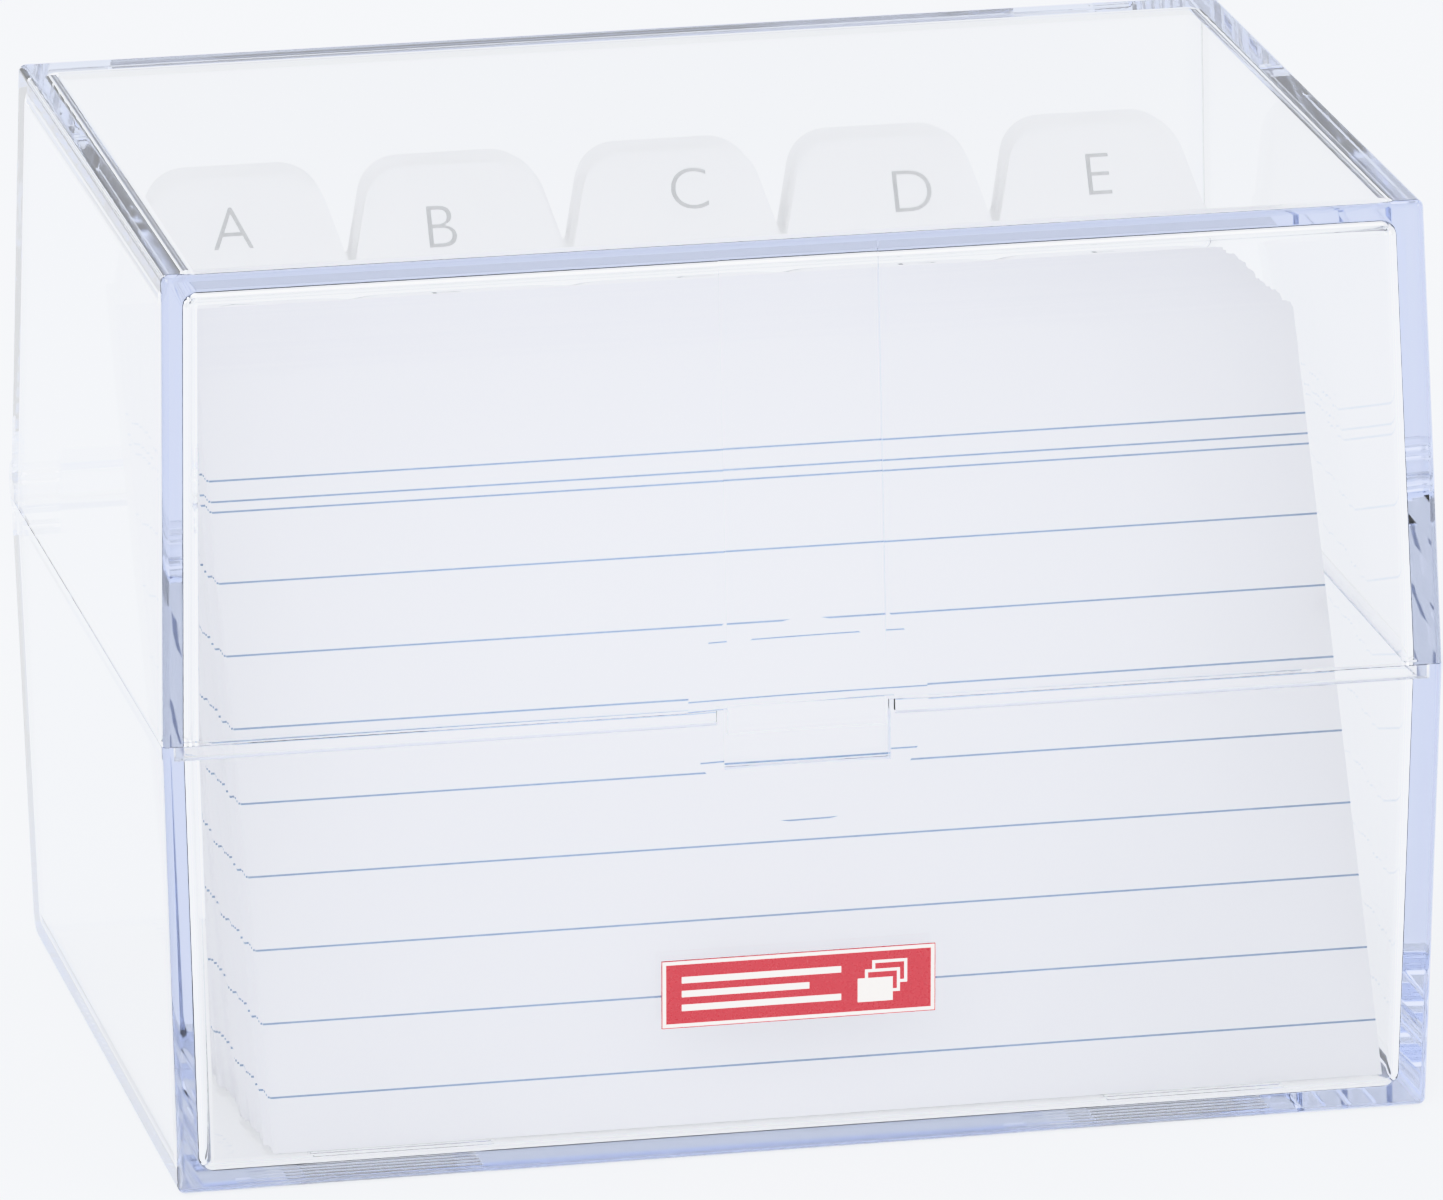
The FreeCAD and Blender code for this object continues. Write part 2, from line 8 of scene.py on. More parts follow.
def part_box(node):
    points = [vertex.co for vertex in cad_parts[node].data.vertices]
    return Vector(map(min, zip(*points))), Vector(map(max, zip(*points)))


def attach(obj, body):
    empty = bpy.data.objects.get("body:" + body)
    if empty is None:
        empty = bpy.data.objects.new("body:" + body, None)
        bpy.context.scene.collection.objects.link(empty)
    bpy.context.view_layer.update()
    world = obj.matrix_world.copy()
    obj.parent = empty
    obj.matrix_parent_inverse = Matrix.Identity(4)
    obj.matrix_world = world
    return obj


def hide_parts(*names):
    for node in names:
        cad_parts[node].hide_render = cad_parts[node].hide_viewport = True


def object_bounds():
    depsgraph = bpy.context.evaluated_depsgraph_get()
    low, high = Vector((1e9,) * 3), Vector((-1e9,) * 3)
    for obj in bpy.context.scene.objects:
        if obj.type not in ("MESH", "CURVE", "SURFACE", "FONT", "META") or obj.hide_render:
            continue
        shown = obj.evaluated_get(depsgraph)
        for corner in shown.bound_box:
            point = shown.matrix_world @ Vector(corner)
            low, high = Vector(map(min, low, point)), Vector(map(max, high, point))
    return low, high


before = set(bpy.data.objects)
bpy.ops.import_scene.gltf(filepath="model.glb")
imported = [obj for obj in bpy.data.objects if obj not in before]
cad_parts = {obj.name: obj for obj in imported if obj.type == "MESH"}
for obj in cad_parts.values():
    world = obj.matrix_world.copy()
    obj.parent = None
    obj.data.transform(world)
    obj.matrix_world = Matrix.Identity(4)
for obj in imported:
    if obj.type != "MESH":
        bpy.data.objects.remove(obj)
cad_low, cad_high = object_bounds()


# ---------------------------------------------------------------- base shell
# The lower half of the box: one injection moulding in clear polystyrene, polished on all sides. Light that
# runs along inside a wall comes out at its edges with a pale violet-blue tint. Two ears at the back carry the
# lid.

MM = 0.001
POLYSTYRENE_INDEX = 1.59
POLISH_ROUGHNESS = 0.008
HANDLING_ROUGHNESS = 0.03
HANDLING_SCALE = 60.0
HANDLING_STARTS = 0.5
HANDLING_FULL = 0.8
ABSORPTION_TINT = (0.72, 0.753, 0.837, 1.0)
ABSORPTION_DENSITY = 30.0
WELD_DISTANCE = 0.0005 * MM
SHARP_ANGLE = math.radians(35.0)
PARTING_HEIGHT = 43.38 * MM
DISH_RADIUS = 75.0 * MM
DISH_DEPTH = 0.85 * MM
DISH_FIT = 0.002 * MM
BASE_FRONT_LEAN = -math.atan(0.0366)


class Wire:
    """The output of one node. Sums on it are written as Python and add Math nodes."""

    def __init__(self, nodes, socket):
        self.nodes = nodes
        self.socket = socket

    def also(self, name):
        """Another output of the same node."""
        return Wire(self.nodes, self.socket.node.outputs[name])

    def math(self, operation, *others):
        return self.nodes.add("ShaderNodeMath", {"operation": operation}, dict(enumerate((self, *others))))

    def __add__(self, other):
        return self.math("ADD", other)

    def __sub__(self, other):
        return self.math("SUBTRACT", other)

    def __rsub__(self, other):
        return (self * -1.0) + other

    def __mul__(self, other):
        return self.math("MULTIPLY", other)

    def __truediv__(self, other):
        return self.math("DIVIDE", other)

    def __mod__(self, other):
        return self.math("FLOORED_MODULO", other)

    def __lt__(self, other):
        return self.math("LESS_THAN", other)

    def __gt__(self, other):
        return self.math("GREATER_THAN", other)

    def __abs__(self):
        return self.math("ABSOLUTE")

    __radd__ = __add__
    __rmul__ = __mul__


class Nodes:
    """A node tree as it is filled."""

    def __init__(self, tree):
        self.tree = tree

    def add(self, kind, settings=None, inputs=None, output=None):
        """One more node: its settings first, then the values or links of its sockets."""
        made = self.tree.nodes.new(kind)
        for name, setting in (settings or {}).items():
            setattr(made, name, setting)
        self.feed(made, inputs or {})
        shown = [socket for socket in made.outputs if socket.enabled]
        if not shown:
            return made
        return Wire(self, made.outputs[output] if output else shown[0])

    def feed(self, node, inputs):
        for name, item in inputs.items():
            by_name = [s for s in node.inputs if s.enabled and name in (s.name, s.identifier)]
            socket = by_name[0] if by_name else node.inputs[name]
            if isinstance(item, Wire):
                self.tree.links.new(item.socket, socket)
            else:
                socket.default_value = item


def finish_material(name, recipe):
    """A material on the Principled shader, whose sockets the recipe fills."""
    material = bpy.data.materials.new(name)
    material.use_nodes = True
    nodes = Nodes(material.node_tree)
    principled = next(n for n in nodes.tree.nodes if n.type == "BSDF_PRINCIPLED")
    output = next(n for n in nodes.tree.nodes if n.type == "OUTPUT_MATERIAL")
    nodes.feed(principled, recipe(nodes, output))
    return material


def object_place(nodes):
    return nodes.add("ShaderNodeTexCoord", output="Object")


def grain(nodes, scale, detail=2.0, roughness=0.5):
    """Noise between 0 and 1 that stays with the piece."""
    inputs = {"Vector": object_place(nodes), "Scale": scale, "Detail": detail, "Roughness": roughness}
    return nodes.add("ShaderNodeTexNoise", inputs=inputs, output="Fac")


def clear_polystyrene(nodes, output):
    """Clear and glossy, with a trace of dullness in patches where hands hold the box."""
    absorption = nodes.add(
        "ShaderNodeVolumeAbsorption",
        inputs={"Color": ABSORPTION_TINT, "Density": ABSORPTION_DENSITY},
    )
    nodes.feed(output, {"Volume": absorption})
    dull = nodes.add(
        "ShaderNodeMapRange",
        inputs={
            "Value": grain(nodes, HANDLING_SCALE, detail=4.0),
            "From Min": HANDLING_STARTS,
            "From Max": HANDLING_FULL,
            "To Min": POLISH_ROUGHNESS,
            "To Max": HANDLING_ROUGHNESS,
        },
    )
    return {
        "Base Color": (1.0, 1.0, 1.0, 1.0),
        "Roughness": dull,
        "IOR": POLYSTYRENE_INDEX,
        "Transmission Weight": 1.0,
    }


def welded_skin(mesh, is_dished):
    """The shell's triangles as one skin, sharp at its corners and round the rim of the thumb dish."""
    skin = bmesh.new()
    skin.from_mesh(mesh)
    bmesh.ops.remove_doubles(skin, verts=skin.verts, dist=WELD_DISTANCE)
    for face in skin.faces:
        face.smooth = True
    for edge in skin.edges:
        sides = {all(is_dished(corner.co) for corner in face.verts) for face in edge.link_faces}
        edge.smooth = len(sides) == 1 and edge.calc_face_angle(math.pi) < SHARP_ANGLE
    skin.to_mesh(mesh)
    skin.free()


def moulding(name, node, body, front_lean, material):
    """A shell whose flat faces shade flat and whose edges shade round. The dish shades as a ball."""
    reach = DISH_RADIUS - DISH_DEPTH
    front = Vector((0.0, cad_low.y, PARTING_HEIGHT))
    middle = front + reach * Vector((0.0, -math.cos(front_lean), math.sin(front_lean)))

    def is_dished(corner):
        return abs((corner - middle).length - DISH_RADIUS) < DISH_FIT

    drawn = bpy.data.objects.new(name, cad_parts[node].data.copy())
    bpy.context.scene.collection.objects.link(drawn)
    welded_skin(drawn.data, is_dished)
    drawn.modifiers.new("flats_first", "WEIGHTED_NORMAL").keep_sharp = True
    mesh = bpy.data.meshes.new_from_object(drawn.evaluated_get(bpy.context.evaluated_depsgraph_get()))
    bpy.data.objects.remove(drawn)
    normals = [Vector(corner.vector) for corner in mesh.corner_normals]
    for face in mesh.polygons:
        corners = [mesh.vertices[place].co for place in face.vertices]
        if all(is_dished(corner) for corner in corners):
            for loop, corner in zip(face.loop_indices, corners):
                normals[loop] = (middle - corner).normalized()
    mesh.normals_split_custom_set(normals)
    mesh.materials.clear()
    mesh.materials.append(material)
    piece = bpy.data.objects.new(name, mesh)
    bpy.context.scene.collection.objects.link(piece)
    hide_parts(node)
    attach(piece, body)


polystyrene = finish_material("clear_polystyrene", clear_polystyrene)
moulding("base_moulding", "base_shell", "base", BASE_FRONT_LEAN, polystyrene)


# ---------------------------------------------------------------- ruled cards
# A hundred index cards of white stock, cut square, with blue rules from edge to edge on both sides: three
# close together under the heading, then eight to write on. They stand loose, and lean back one on the other.

CARD_BUNDLES = 10
CARD_WIDTH = 105.0 * MM
CARD_HEIGHT = 74.0 * MM
CARD_THICKNESS = 0.215 * MM
CARD_LEAN = math.radians(28.5)
HEADING_RULE = 10.4 * MM
HEADING_SECOND = 2.0 * MM
HEADING_THIRD = 1.0 * MM
HEADING_RULES = 3
WRITING_RULE = 20.2 * MM
WRITING_PITCH = 6.94 * MM
WRITING_RULES = 8
RULE_WIDTH = 0.2 * MM
RULE_CUT_MIDDLE = 1.5
RULE_CUT_REACH = 0.25
FLAT_ENOUGH = 0.5
INK_COLOUR = (0.10, 0.21, 0.40, 1.0)
CARD_COLOUR = (0.86, 0.865, 0.90, 1.0)
CARD_SHADE = (0.81, 0.815, 0.86, 1.0)
FIBRE_SCALE = 2600.0
FIBRE_DEPTH = 0.004 * MM
FIBRE_STRENGTH = 0.5
STOCK_SHARE = 0.6
CLOUD_SCALE = 45.0
CARD_ROUGHNESS = 0.62
CARD_ROUGHNESS_SPREAD = 0.16
CARD_ROUGHNESS_SCALE = 900.0
INK_SCALE = 1800.0
INK_THINNESS = 0.25
INK_ROUGHNESS = 0.5
INK_ROUGHNESS_SPREAD = 0.2


def mix(nodes, amount, under, over):
    return nodes.add("ShaderNodeMix", {"data_type": "RGBA"}, {"Factor": amount, "A": under, "B": over})


def fibres(nodes, depth):
    """The faint tooth of uncoated card."""
    height = grain(nodes, FIBRE_SCALE, detail=4.0, roughness=0.65)
    return nodes.add(
        "ShaderNodeBump",
        inputs={"Height": height, "Strength": FIBRE_STRENGTH, "Distance": depth},
    )


def card_stock(nodes, output):
    """White card with a trace of lavender. No two cards are quite the same white."""
    stock = nodes.add("ShaderNodeAttribute", {"attribute_name": "stock"}, output="Fac")
    cloud = grain(nodes, CLOUD_SCALE, detail=3.0)
    return {
        "Base Color": mix(nodes, stock * STOCK_SHARE + cloud * (1.0 - STOCK_SHARE), CARD_SHADE, CARD_COLOUR),
        "Roughness": CARD_ROUGHNESS + CARD_ROUGHNESS_SPREAD * grain(nodes, CARD_ROUGHNESS_SCALE),
        "Normal": fibres(nodes, FIBRE_DEPTH),
    }


def rule_ink(nodes, output):
    """Thin offset ink: the card's fibres show through it a little."""
    cover = grain(nodes, INK_SCALE, detail=3.0)
    return {
        "Base Color": mix(nodes, INK_THINNESS * cover, INK_COLOUR, CARD_COLOUR),
        "Roughness": INK_ROUGHNESS + INK_ROUGHNESS_SPREAD * cover,
        "Normal": fibres(nodes, FIBRE_DEPTH),
    }


def new_growth(name, inputs):
    """An empty Geometry Nodes tree with its named inputs, as wires by name."""
    tree = bpy.data.node_groups.new(name, "GeometryNodeTree")
    for label, kind in {"Geometry": "NodeSocketGeometry", **inputs}.items():
        tree.interface.new_socket(label, in_out="INPUT", socket_type=kind)
    tree.interface.new_socket("Geometry", in_out="OUTPUT", socket_type="NodeSocketGeometry")
    nodes = Nodes(tree)
    entry = nodes.add("NodeGroupInput")
    return nodes, {label: entry.also(label) for label in ("Geometry", *inputs)}


def rule_depth(nodes, step, given):
    """How far below the card's top each cut across it lies: the card's edges, and both sides of each rule."""
    last = 2 * (HEADING_RULES + WRITING_RULES) + 1
    rule = ((step - 1.0) / 2.0).math("FLOOR")
    lower_side = (step - 1.0) - rule * 2.0
    second = rule.math("MINIMUM", 1.0) * given["Second Gap"]
    third = (rule - 1.0).math("MAXIMUM", 0.0) * given["Third Gap"]
    heading = given["Heading"] + second + third
    writing = given["Writing"] + (rule - float(HEADING_RULES)) * given["Pitch"]
    is_writing = rule > HEADING_RULES - 0.5
    middle = heading * (1.0 - is_writing) + writing * is_writing
    side = middle + (lower_side - 0.5) * given["Rule Width"]
    at_foot = step > last - 0.5
    between = (step > 0.5) * (1.0 - at_foot)
    return side * between + given["Height"] * at_foot, last + 1


def card_growth():
    """Each point becomes a leaning card that is cut across at its rules, so each rule is faces of its own."""
    sizes = ("Width", "Height", "Thickness", "Lean", "Heading", "Second Gap", "Third Gap", "Writing", "Pitch")
    kinds = {label: "NodeSocketFloat" for label in (*sizes, "Rule Width")}
    kinds |= {"Seed": "NodeSocketInt", "Stock": "NodeSocketMaterial", "Ink": "NodeSocketMaterial"}
    nodes, given = new_growth("ruled_cards", kinds)
    step = nodes.add("GeometryNodeInputIndex")
    depth, cuts = rule_depth(nodes, step, given)
    place = nodes.add("ShaderNodeCombineXYZ", inputs={"Y": given["Height"] * 0.5 - depth})
    line = nodes.add("GeometryNodeMeshLine", inputs={"Count": cuts, "Offset": (0.0, -1.0 * MM, 0.0)})
    line = nodes.add("GeometryNodeSetPosition", inputs={"Geometry": line, "Position": place})
    line = nodes.add(
        "GeometryNodeStoreNamedAttribute",
        {"data_type": "FLOAT", "domain": "POINT"},
        {"Geometry": line, "Name": "cut", "Value": step},
    )
    spine = nodes.add("GeometryNodeMeshToCurve", inputs={"Mesh": line})
    spine = nodes.add("GeometryNodeSetCurveNormal", {"mode": "Z_UP"}, {"Curve": spine})
    section = nodes.add(
        "GeometryNodeCurvePrimitiveQuadrilateral",
        inputs={"Width": given["Width"], "Height": given["Thickness"]},
    )
    card = nodes.add(
        "GeometryNodeCurveToMesh",
        inputs={"Curve": spine, "Profile Curve": section, "Fill Caps": True},
    )
    cut = nodes.add("GeometryNodeInputNamedAttribute", {"data_type": "FLOAT"}, {"Name": "cut"})
    facing = nodes.add("ShaderNodeSeparateXYZ", inputs={"Vector": nodes.add("GeometryNodeInputNormal")})
    is_between_its_cuts = abs(cut % 2.0 - RULE_CUT_MIDDLE) < RULE_CUT_REACH
    is_rule = is_between_its_cuts * (abs(facing.also("Z")) > FLAT_ENOUGH)
    card = nodes.add(
        "GeometryNodeStoreNamedAttribute",
        {"data_type": "BOOLEAN", "domain": "FACE"},
        {"Geometry": card, "Name": "rule", "Value": is_rule},
    )
    stock = nodes.add(
        "FunctionNodeRandomValue",
        {"data_type": "FLOAT"},
        {"Min": 0.0, "Max": 1.0, "ID": step, "Seed": given["Seed"]},
    )
    points = nodes.add(
        "GeometryNodeStoreNamedAttribute",
        {"data_type": "FLOAT", "domain": "POINT"},
        {"Geometry": given["Geometry"], "Name": "stock", "Value": stock},
    )
    upright = given["Lean"] * -1.0 + math.pi / 2.0
    turn = nodes.add("ShaderNodeCombineXYZ", inputs={"X": upright})
    cards = nodes.add(
        "GeometryNodeInstanceOnPoints",
        inputs={"Points": points, "Instance": card, "Rotation": turn},
    )
    cards = nodes.add("GeometryNodeRealizeInstances", inputs={"Geometry": cards})
    rule = nodes.add("GeometryNodeInputNamedAttribute", {"data_type": "BOOLEAN"}, {"Name": "rule"})
    cards = nodes.add("GeometryNodeSetMaterial", inputs={"Geometry": cards, "Material": given["Stock"]})
    cards = nodes.add(
        "GeometryNodeSetMaterial",
        inputs={"Geometry": cards, "Selection": rule, "Material": given["Ink"]},
    )
    nodes.add("NodeGroupOutput", inputs={"Geometry": cards})
    return nodes.tree


def grow(name, points, tree, values):
    """Runs a tree on some points and keeps the result as a plain mesh."""
    seedbed = bpy.data.meshes.new(name)
    seedbed.from_pydata(points, [], [])
    planted = bpy.data.objects.new(name, seedbed)
    bpy.context.scene.collection.objects.link(planted)
    growth = planted.modifiers.new("growth", "NODES")
    growth.node_group = tree
    for item in tree.interface.items_tree:
        if item.in_out == "INPUT" and item.name in values:
            growth[item.identifier] = values[item.name]
    grown = planted.evaluated_get(bpy.context.evaluated_depsgraph_get())
    mesh = bpy.data.meshes.new_from_object(grown)
    bpy.data.objects.remove(planted)
    mesh.name = name
    piece = bpy.data.objects.new(name, mesh)
    bpy.context.scene.collection.objects.link(piece)
    return piece


def loose_middles(node):
    """The middle of each separate leaf in a node, the front one first."""
    skin = bmesh.new()
    skin.from_mesh(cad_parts[node].data)
    bmesh.ops.remove_doubles(skin, verts=skin.verts, dist=WELD_DISTANCE)
    waiting = set(skin.verts)
    middles = []
    while waiting:
        reached = [waiting.pop()]
        for corner in reached:
            near = {edge.other_vert(corner) for edge in corner.link_edges} & waiting
            waiting -= near
            reached.extend(near)
        spans = [[corner.co[axis] for corner in reached] for axis in range(3)]
        middles.append(Vector((min(span) + max(span)) / 2 for span in spans))
    skin.free()
    return sorted(middles, key=lambda middle: middle.y)


stock_finish = finish_material("card_stock", card_stock)
ink_finish = finish_material("rule_ink", rule_ink)
card_tree = card_growth()
for bundle in range(1, CARD_BUNDLES + 1):
    node = f"cards_{bundle:02d}"
    piece = grow(
        f"ruled_cards_{bundle:02d}",
        loose_middles(node),
        card_tree,
        {
            "Width": CARD_WIDTH,
            "Height": CARD_HEIGHT,
            "Thickness": CARD_THICKNESS,
            "Lean": CARD_LEAN,
            "Heading": HEADING_RULE,
            "Second Gap": HEADING_SECOND,
            "Third Gap": HEADING_THIRD,
            "Writing": WRITING_RULE,
            "Pitch": WRITING_PITCH,
            "Rule Width": RULE_WIDTH,
            "Seed": bundle,
            "Stock": stock_finish,
            "Ink": ink_finish,
        },
    )
    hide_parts(node)
    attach(piece, node)


# ---------------------------------------------------------------- register
# Twenty-five dividers of smooth white board, die-cut with round-shouldered tabs, in five rows of five. Each
# tab carries its index letter, printed in thin grey capitals.

LETTER_ROWS = ("ABCDE", "FGHIJ", "KLMNO", "PQRST", ("U", "V", "W", "XY", "Z"))
TAB_PITCH = 21.0 * MM
DIVIDER_THICKNESS = 0.2 * MM
LETTER_HEIGHT = 4.1 * MM
LETTER_PLACES = ((-0.8, 5.0), (-1.4, 6.1), (1.7, 3.9), (2.6, 5.5), (0.1, 5.0))
LETTER_INK_GAP = 0.006 * MM
LETTER_THINNING = -0.012
BOARD_COLOUR = (0.90, 0.905, 0.92, 1.0)
BOARD_SHADE = (0.86, 0.865, 0.89, 1.0)
LETTER_COLOUR = (0.07, 0.08, 0.10, 1.0)
LETTER_CURVE_STEPS = 5
LETTER_INK_SCALE = 2200.0
LETTER_THINNESS = 0.2
LETTER_ROUGHNESS = 0.4
BOARD_CLOUD_SCALE = 70.0
BOARD_ROUGHNESS = 0.42
BOARD_ROUGHNESS_SCALE = 700.0
BOARD_TOOTH = 0.6
MIDDLE_COLUMN = 2
UP_THE_LEAF = Vector((0.0, math.sin(CARD_LEAN), math.cos(CARD_LEAN)))
OUT_OF_THE_LEAF = Vector((0.0, -math.cos(CARD_LEAN), math.sin(CARD_LEAN)))


def register_board(nodes, output):
    """Smooth board with a slight calendered sheen."""
    return {
        "Base Color": mix(nodes, grain(nodes, BOARD_CLOUD_SCALE, detail=4.0), BOARD_SHADE, BOARD_COLOUR),
        "Roughness": BOARD_ROUGHNESS + CARD_ROUGHNESS_SPREAD * grain(nodes, BOARD_ROUGHNESS_SCALE),
        "Normal": fibres(nodes, FIBRE_DEPTH * BOARD_TOOTH),
    }


def letter_print(nodes, output):
    """Grey printing ink, a little thin over the board's grain."""
    cover = grain(nodes, LETTER_INK_SCALE, detail=3.0)
    return {
        "Base Color": mix(nodes, LETTER_THINNESS * cover, LETTER_COLOUR, BOARD_COLOUR),
        "Roughness": LETTER_ROUGHNESS + INK_ROUGHNESS_SPREAD * cover,
    }


def flat_letters(letters):
    """Capitals as a mesh in the XY plane, one unit high, their middle at the origin."""
    curve = bpy.data.curves.new(f"print_{letters}", "FONT")
    curve.body = letters
    curve.offset = LETTER_THINNING
    curve.resolution_u = LETTER_CURVE_STEPS
    drawn = bpy.data.objects.new(curve.name, curve)
    bpy.context.scene.collection.objects.link(drawn)
    evaluated = drawn.evaluated_get(bpy.context.evaluated_depsgraph_get())
    mesh = bpy.data.meshes.new_from_object(evaluated)
    bpy.data.objects.remove(drawn)
    across = [corner.co.x for corner in mesh.vertices]
    upward = [corner.co.y for corner in mesh.vertices]
    middle = Vector(((min(across) + max(across)) / 2, (min(upward) + max(upward)) / 2, 0.0))
    mesh.transform(Matrix.Scale(1.0 / (max(upward) - min(upward)), 4) @ Matrix.Translation(-middle))
    return mesh


def letter_place(letters, column):
    """Where a tab's letter goes: the leaf's own directions, and the letter's middle on its front face."""
    low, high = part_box(f"divider_{letters}")
    thickness_rise = DIVIDER_THICKNESS * math.sin(CARD_LEAN)
    foot = Vector(((low.x + high.x) / 2, low.y, low.z + thickness_rise))
    height = (high.z - foot.z) / UP_THE_LEAF.z
    across = Vector((1.0, 0.0, 0.0))
    shift, drop = (distance * MM for distance in LETTER_PLACES[column])
    middle = foot + across * ((column - MIDDLE_COLUMN) * TAB_PITCH + shift) + UP_THE_LEAF * (height - drop)
    turned = Matrix((across, UP_THE_LEAF, OUT_OF_THE_LEAF)).transposed().to_4x4()
    turned.translation = middle + OUT_OF_THE_LEAF * LETTER_INK_GAP
    return turned


board_finish = finish_material("register_board", register_board)
letter_finish = finish_material("letter_print", letter_print)
for row, row_letters in enumerate(LETTER_ROWS, start=1):
    for column, letters in enumerate(row_letters):
        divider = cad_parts[f"divider_{letters}"]
        divider.data.materials.clear()
        divider.data.materials.append(board_finish)
        mesh = flat_letters(letters)
        mesh.transform(letter_place(letters, column) @ Matrix.Scale(LETTER_HEIGHT, 4))
        mesh.materials.clear()
        mesh.materials.append(letter_finish)
        printed = bpy.data.objects.new(f"letter_{letters}", mesh)
        bpy.context.scene.collection.objects.link(printed)
        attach(printed, f"register_{row}")


# ---------------------------------------------------------------- lid shell
# The upper half of the box, in the same clear polystyrene. Its lip sits inside the base's rim, its sunk strip
# ends in the tongue of the latch, and the studs on its two knuckles snap into the base's ears.

LID_FRONT_LEAN = math.atan(0.0725)
moulding("lid_moulding", "lid_shell", "lid", LID_FRONT_LEAN, polystyrene)


# ---------------------------------------------------------------- label
# A printed gloss sticker on the base's front: red, with a white border in a hair-thin red outline. It shows a
# stack of cards and three plain bars.

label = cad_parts["front_label"]
label_low, label_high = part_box("front_label")
LABEL_RED = (0.30, 0.018, 0.028, 1.0)
LABEL_WHITE = (0.66, 0.645, 0.625, 1.0)
OUTLINE_WIDTH = 0.09 * MM
BORDER_WIDTH = 0.42 * MM
PICTURE_LEFT = 7.9 * MM
CARD_SIGN_SIZE = (3.3 * MM, 2.3 * MM)
CARD_SIGN_STEP = 0.85 * MM
CARD_SIGN_LINE = 0.28 * MM
BAR_LEFT = -11.0 * MM
BAR_HEIGHT = 0.62 * MM
BARS = ((1.35, 15.0), (0.0, 12.0), (-1.35, 15.0))
CARD_SIGN_SLANT = 0.8
SCREEN_SCALE = 2500.0
SCREEN_COVER = 0.95
LABEL_ROUGHNESS = 0.22
LABEL_ROUGHNESS_SPREAD = 0.12
LABEL_COAT = 0.4
LABEL_COAT_ROUGHNESS = 0.08


def inside(across, upward, middle, size):
    """1 inside an upright rectangle, 0 outside."""
    wide = abs(across - middle[0]) < size[0] / 2
    high = abs(upward - middle[1]) < size[1] / 2
    return wide * high


def label_print(nodes, output):
    """Red, white border, red outline, and the card stack and bars in white."""
    place = nodes.add("ShaderNodeSeparateXYZ", inputs={"Vector": object_place(nodes)})
    across = place - (label_low.x + label_high.x) / 2
    upward = place.also("Z") - (label_low.z + label_high.z) / 2
    width = label_high.x - label_low.x
    height = label_high.z - label_low.z
    border = 1.0 - inside(across, upward, (0, 0), (width - 2 * BORDER_WIDTH, height - 2 * BORDER_WIDTH))
    outline = 1.0 - inside(across, upward, (0, 0), (width - 2 * OUTLINE_WIDTH, height - 2 * OUTLINE_WIDTH))
    white = border - outline
    for level, length in BARS:
        length = length * MM
        bar = inside(across, upward, (BAR_LEFT + length / 2, level * MM), (length, BAR_HEIGHT))
        white = white.math("MAXIMUM", bar)
    for step in (1, 0, -1):
        middle = (PICTURE_LEFT + step * CARD_SIGN_STEP * CARD_SIGN_SLANT, step * CARD_SIGN_STEP)
        whole = inside(across, upward, middle, CARD_SIGN_SIZE)
        inner = tuple(side - 2 * CARD_SIGN_LINE for side in CARD_SIGN_SIZE)
        frame_only = whole - inside(across, upward, middle, inner)
        white = white * (1.0 - whole) + (whole if step == -1 else frame_only)
    screen = grain(nodes, SCREEN_SCALE)
    cover = SCREEN_COVER + (1.0 - SCREEN_COVER) * screen
    return {
        "Base Color": mix(nodes, white * cover, LABEL_RED, LABEL_WHITE),
        "Roughness": LABEL_ROUGHNESS + LABEL_ROUGHNESS_SPREAD * screen,
        "Coat Weight": LABEL_COAT,
        "Coat Roughness": LABEL_COAT_ROUGHNESS,
    }


label.data.materials.clear()
label.data.materials.append(finish_material("label_print", label_print))


# ---------------------------------------------------------------- floor, light and camera
# The box stands on a plain pale floor that is lit a little from below, like a shooting table. Four large soft
# boxes light it: one overhead, two in front at the sides, and one behind.

FLOOR_HALF = 5.0
FLOOR_GAP = 0.2 * MM
FLOOR_COLOUR = (0.44, 0.447, 0.462, 1.0)
FLOOR_GLOW = 0.62
SURROUND_COLOUR = (0.975, 0.985, 1.0, 1.0)
SURROUND_STRENGTH = 1.0
FLOOR_ROUGHNESS = 0.75
FLOOR_ROUGHNESS_SPREAD = 0.1
FLOOR_GRAIN_SCALE = 3.0
SOFT_BOXES = (
    ("overhead_soft_box", (-0.15, 0.1, 1.5), 1.4, 9.0),
    ("right_soft_box", (1.2, -1.2, 0.9), 1.0, 15.0),
    ("left_soft_box", (-0.9, -1.4, 1.0), 1.2, 31.0),
    ("rear_soft_box", (-0.9, 1.4, 1.3), 1.2, 18.0),
)
SENSOR_WIDTH = 36.0
LENS = 369.76
CAMERA_PLACE = (-0.26936, -1.31779, 0.42853)
CAMERA_TURN = (1.29036, 0.00798, -0.2046)
LIGHT_BOUNCES = 40
EXPOSURE = 0.18


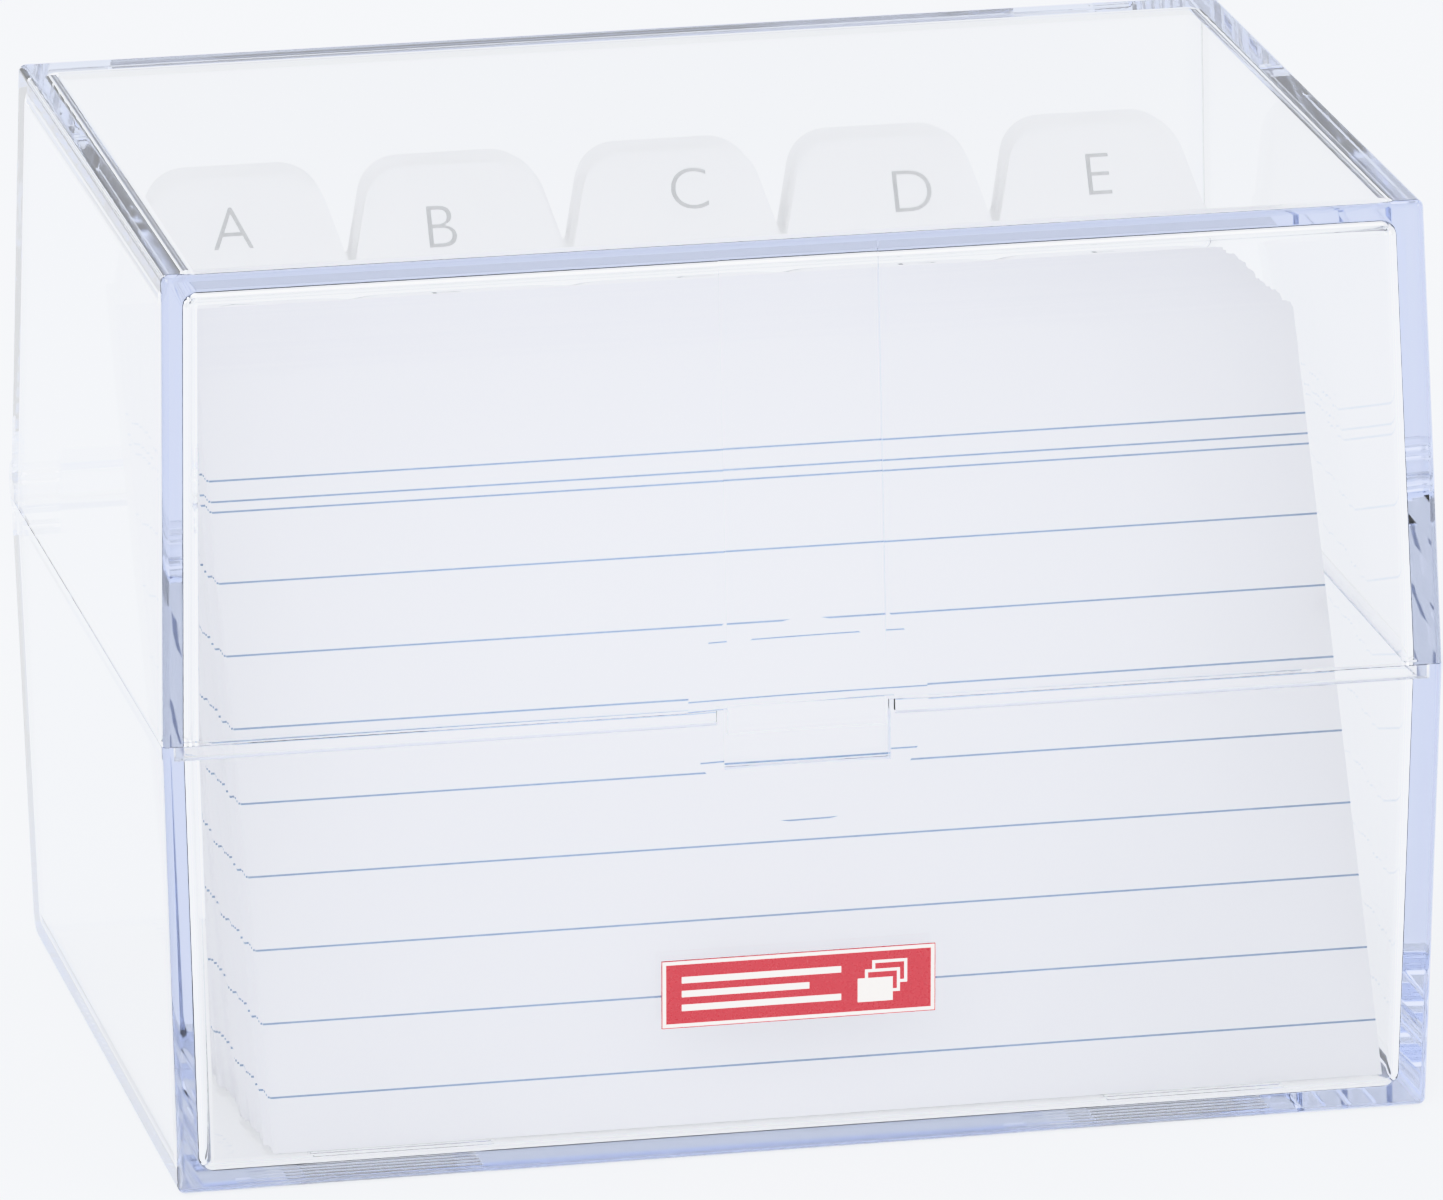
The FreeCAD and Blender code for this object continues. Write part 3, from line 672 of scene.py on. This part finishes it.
def pale_floor(nodes, output):
    return {
        "Base Color": FLOOR_COLOUR,
        "Roughness": FLOOR_ROUGHNESS + FLOOR_ROUGHNESS_SPREAD * grain(nodes, FLOOR_GRAIN_SCALE),
        "Emission Color": SURROUND_COLOUR,
        "Emission Strength": FLOOR_GLOW,
    }


def soft_box(name, place, size, power):
    """A square light that faces the box."""
    light = bpy.data.lights.new(name, "AREA")
    light.shape = "SQUARE"
    light.size = size
    light.energy = power
    lamp = bpy.data.objects.new(name, light)
    lamp.location = place
    lamp.rotation_euler = (-Vector(place)).to_track_quat("-Z", "Y").to_euler()
    bpy.context.scene.collection.objects.link(lamp)


floor_mesh = bpy.data.meshes.new("floor")
corners = [(-1, -1), (1, -1), (1, 1), (-1, 1)]
floor_mesh.from_pydata([(x * FLOOR_HALF, y * FLOOR_HALF, -FLOOR_GAP) for x, y in corners], [], [(0, 1, 2, 3)])
floor_mesh.materials.append(finish_material("pale_floor", pale_floor))
floor = bpy.data.objects.new("floor", floor_mesh)
bpy.context.scene.collection.objects.link(floor)

world = bpy.data.worlds.new("studio")
world.use_nodes = True
background = next(n for n in world.node_tree.nodes if n.type == "BACKGROUND")
background.inputs["Color"].default_value = SURROUND_COLOUR
background.inputs["Strength"].default_value = SURROUND_STRENGTH
bpy.context.scene.world = world
for name, place, size, power in SOFT_BOXES:
    soft_box(name, place, size, power)

bpy.context.scene.view_settings.view_transform = "Khronos PBR Neutral"
bpy.context.scene.view_settings.exposure = EXPOSURE
bpy.context.scene.cycles.max_bounces = LIGHT_BOUNCES
bpy.context.scene.cycles.transmission_bounces = LIGHT_BOUNCES
bpy.context.scene.cycles.glossy_bounces = LIGHT_BOUNCES

camera_data = bpy.data.cameras.new("camera")
camera_data.sensor_width = SENSOR_WIDTH
camera_data.lens = LENS
camera = bpy.data.objects.new("camera", camera_data)
camera.location = CAMERA_PLACE
camera.rotation_euler = CAMERA_TURN
bpy.context.scene.collection.objects.link(camera)
bpy.context.scene.camera = camera
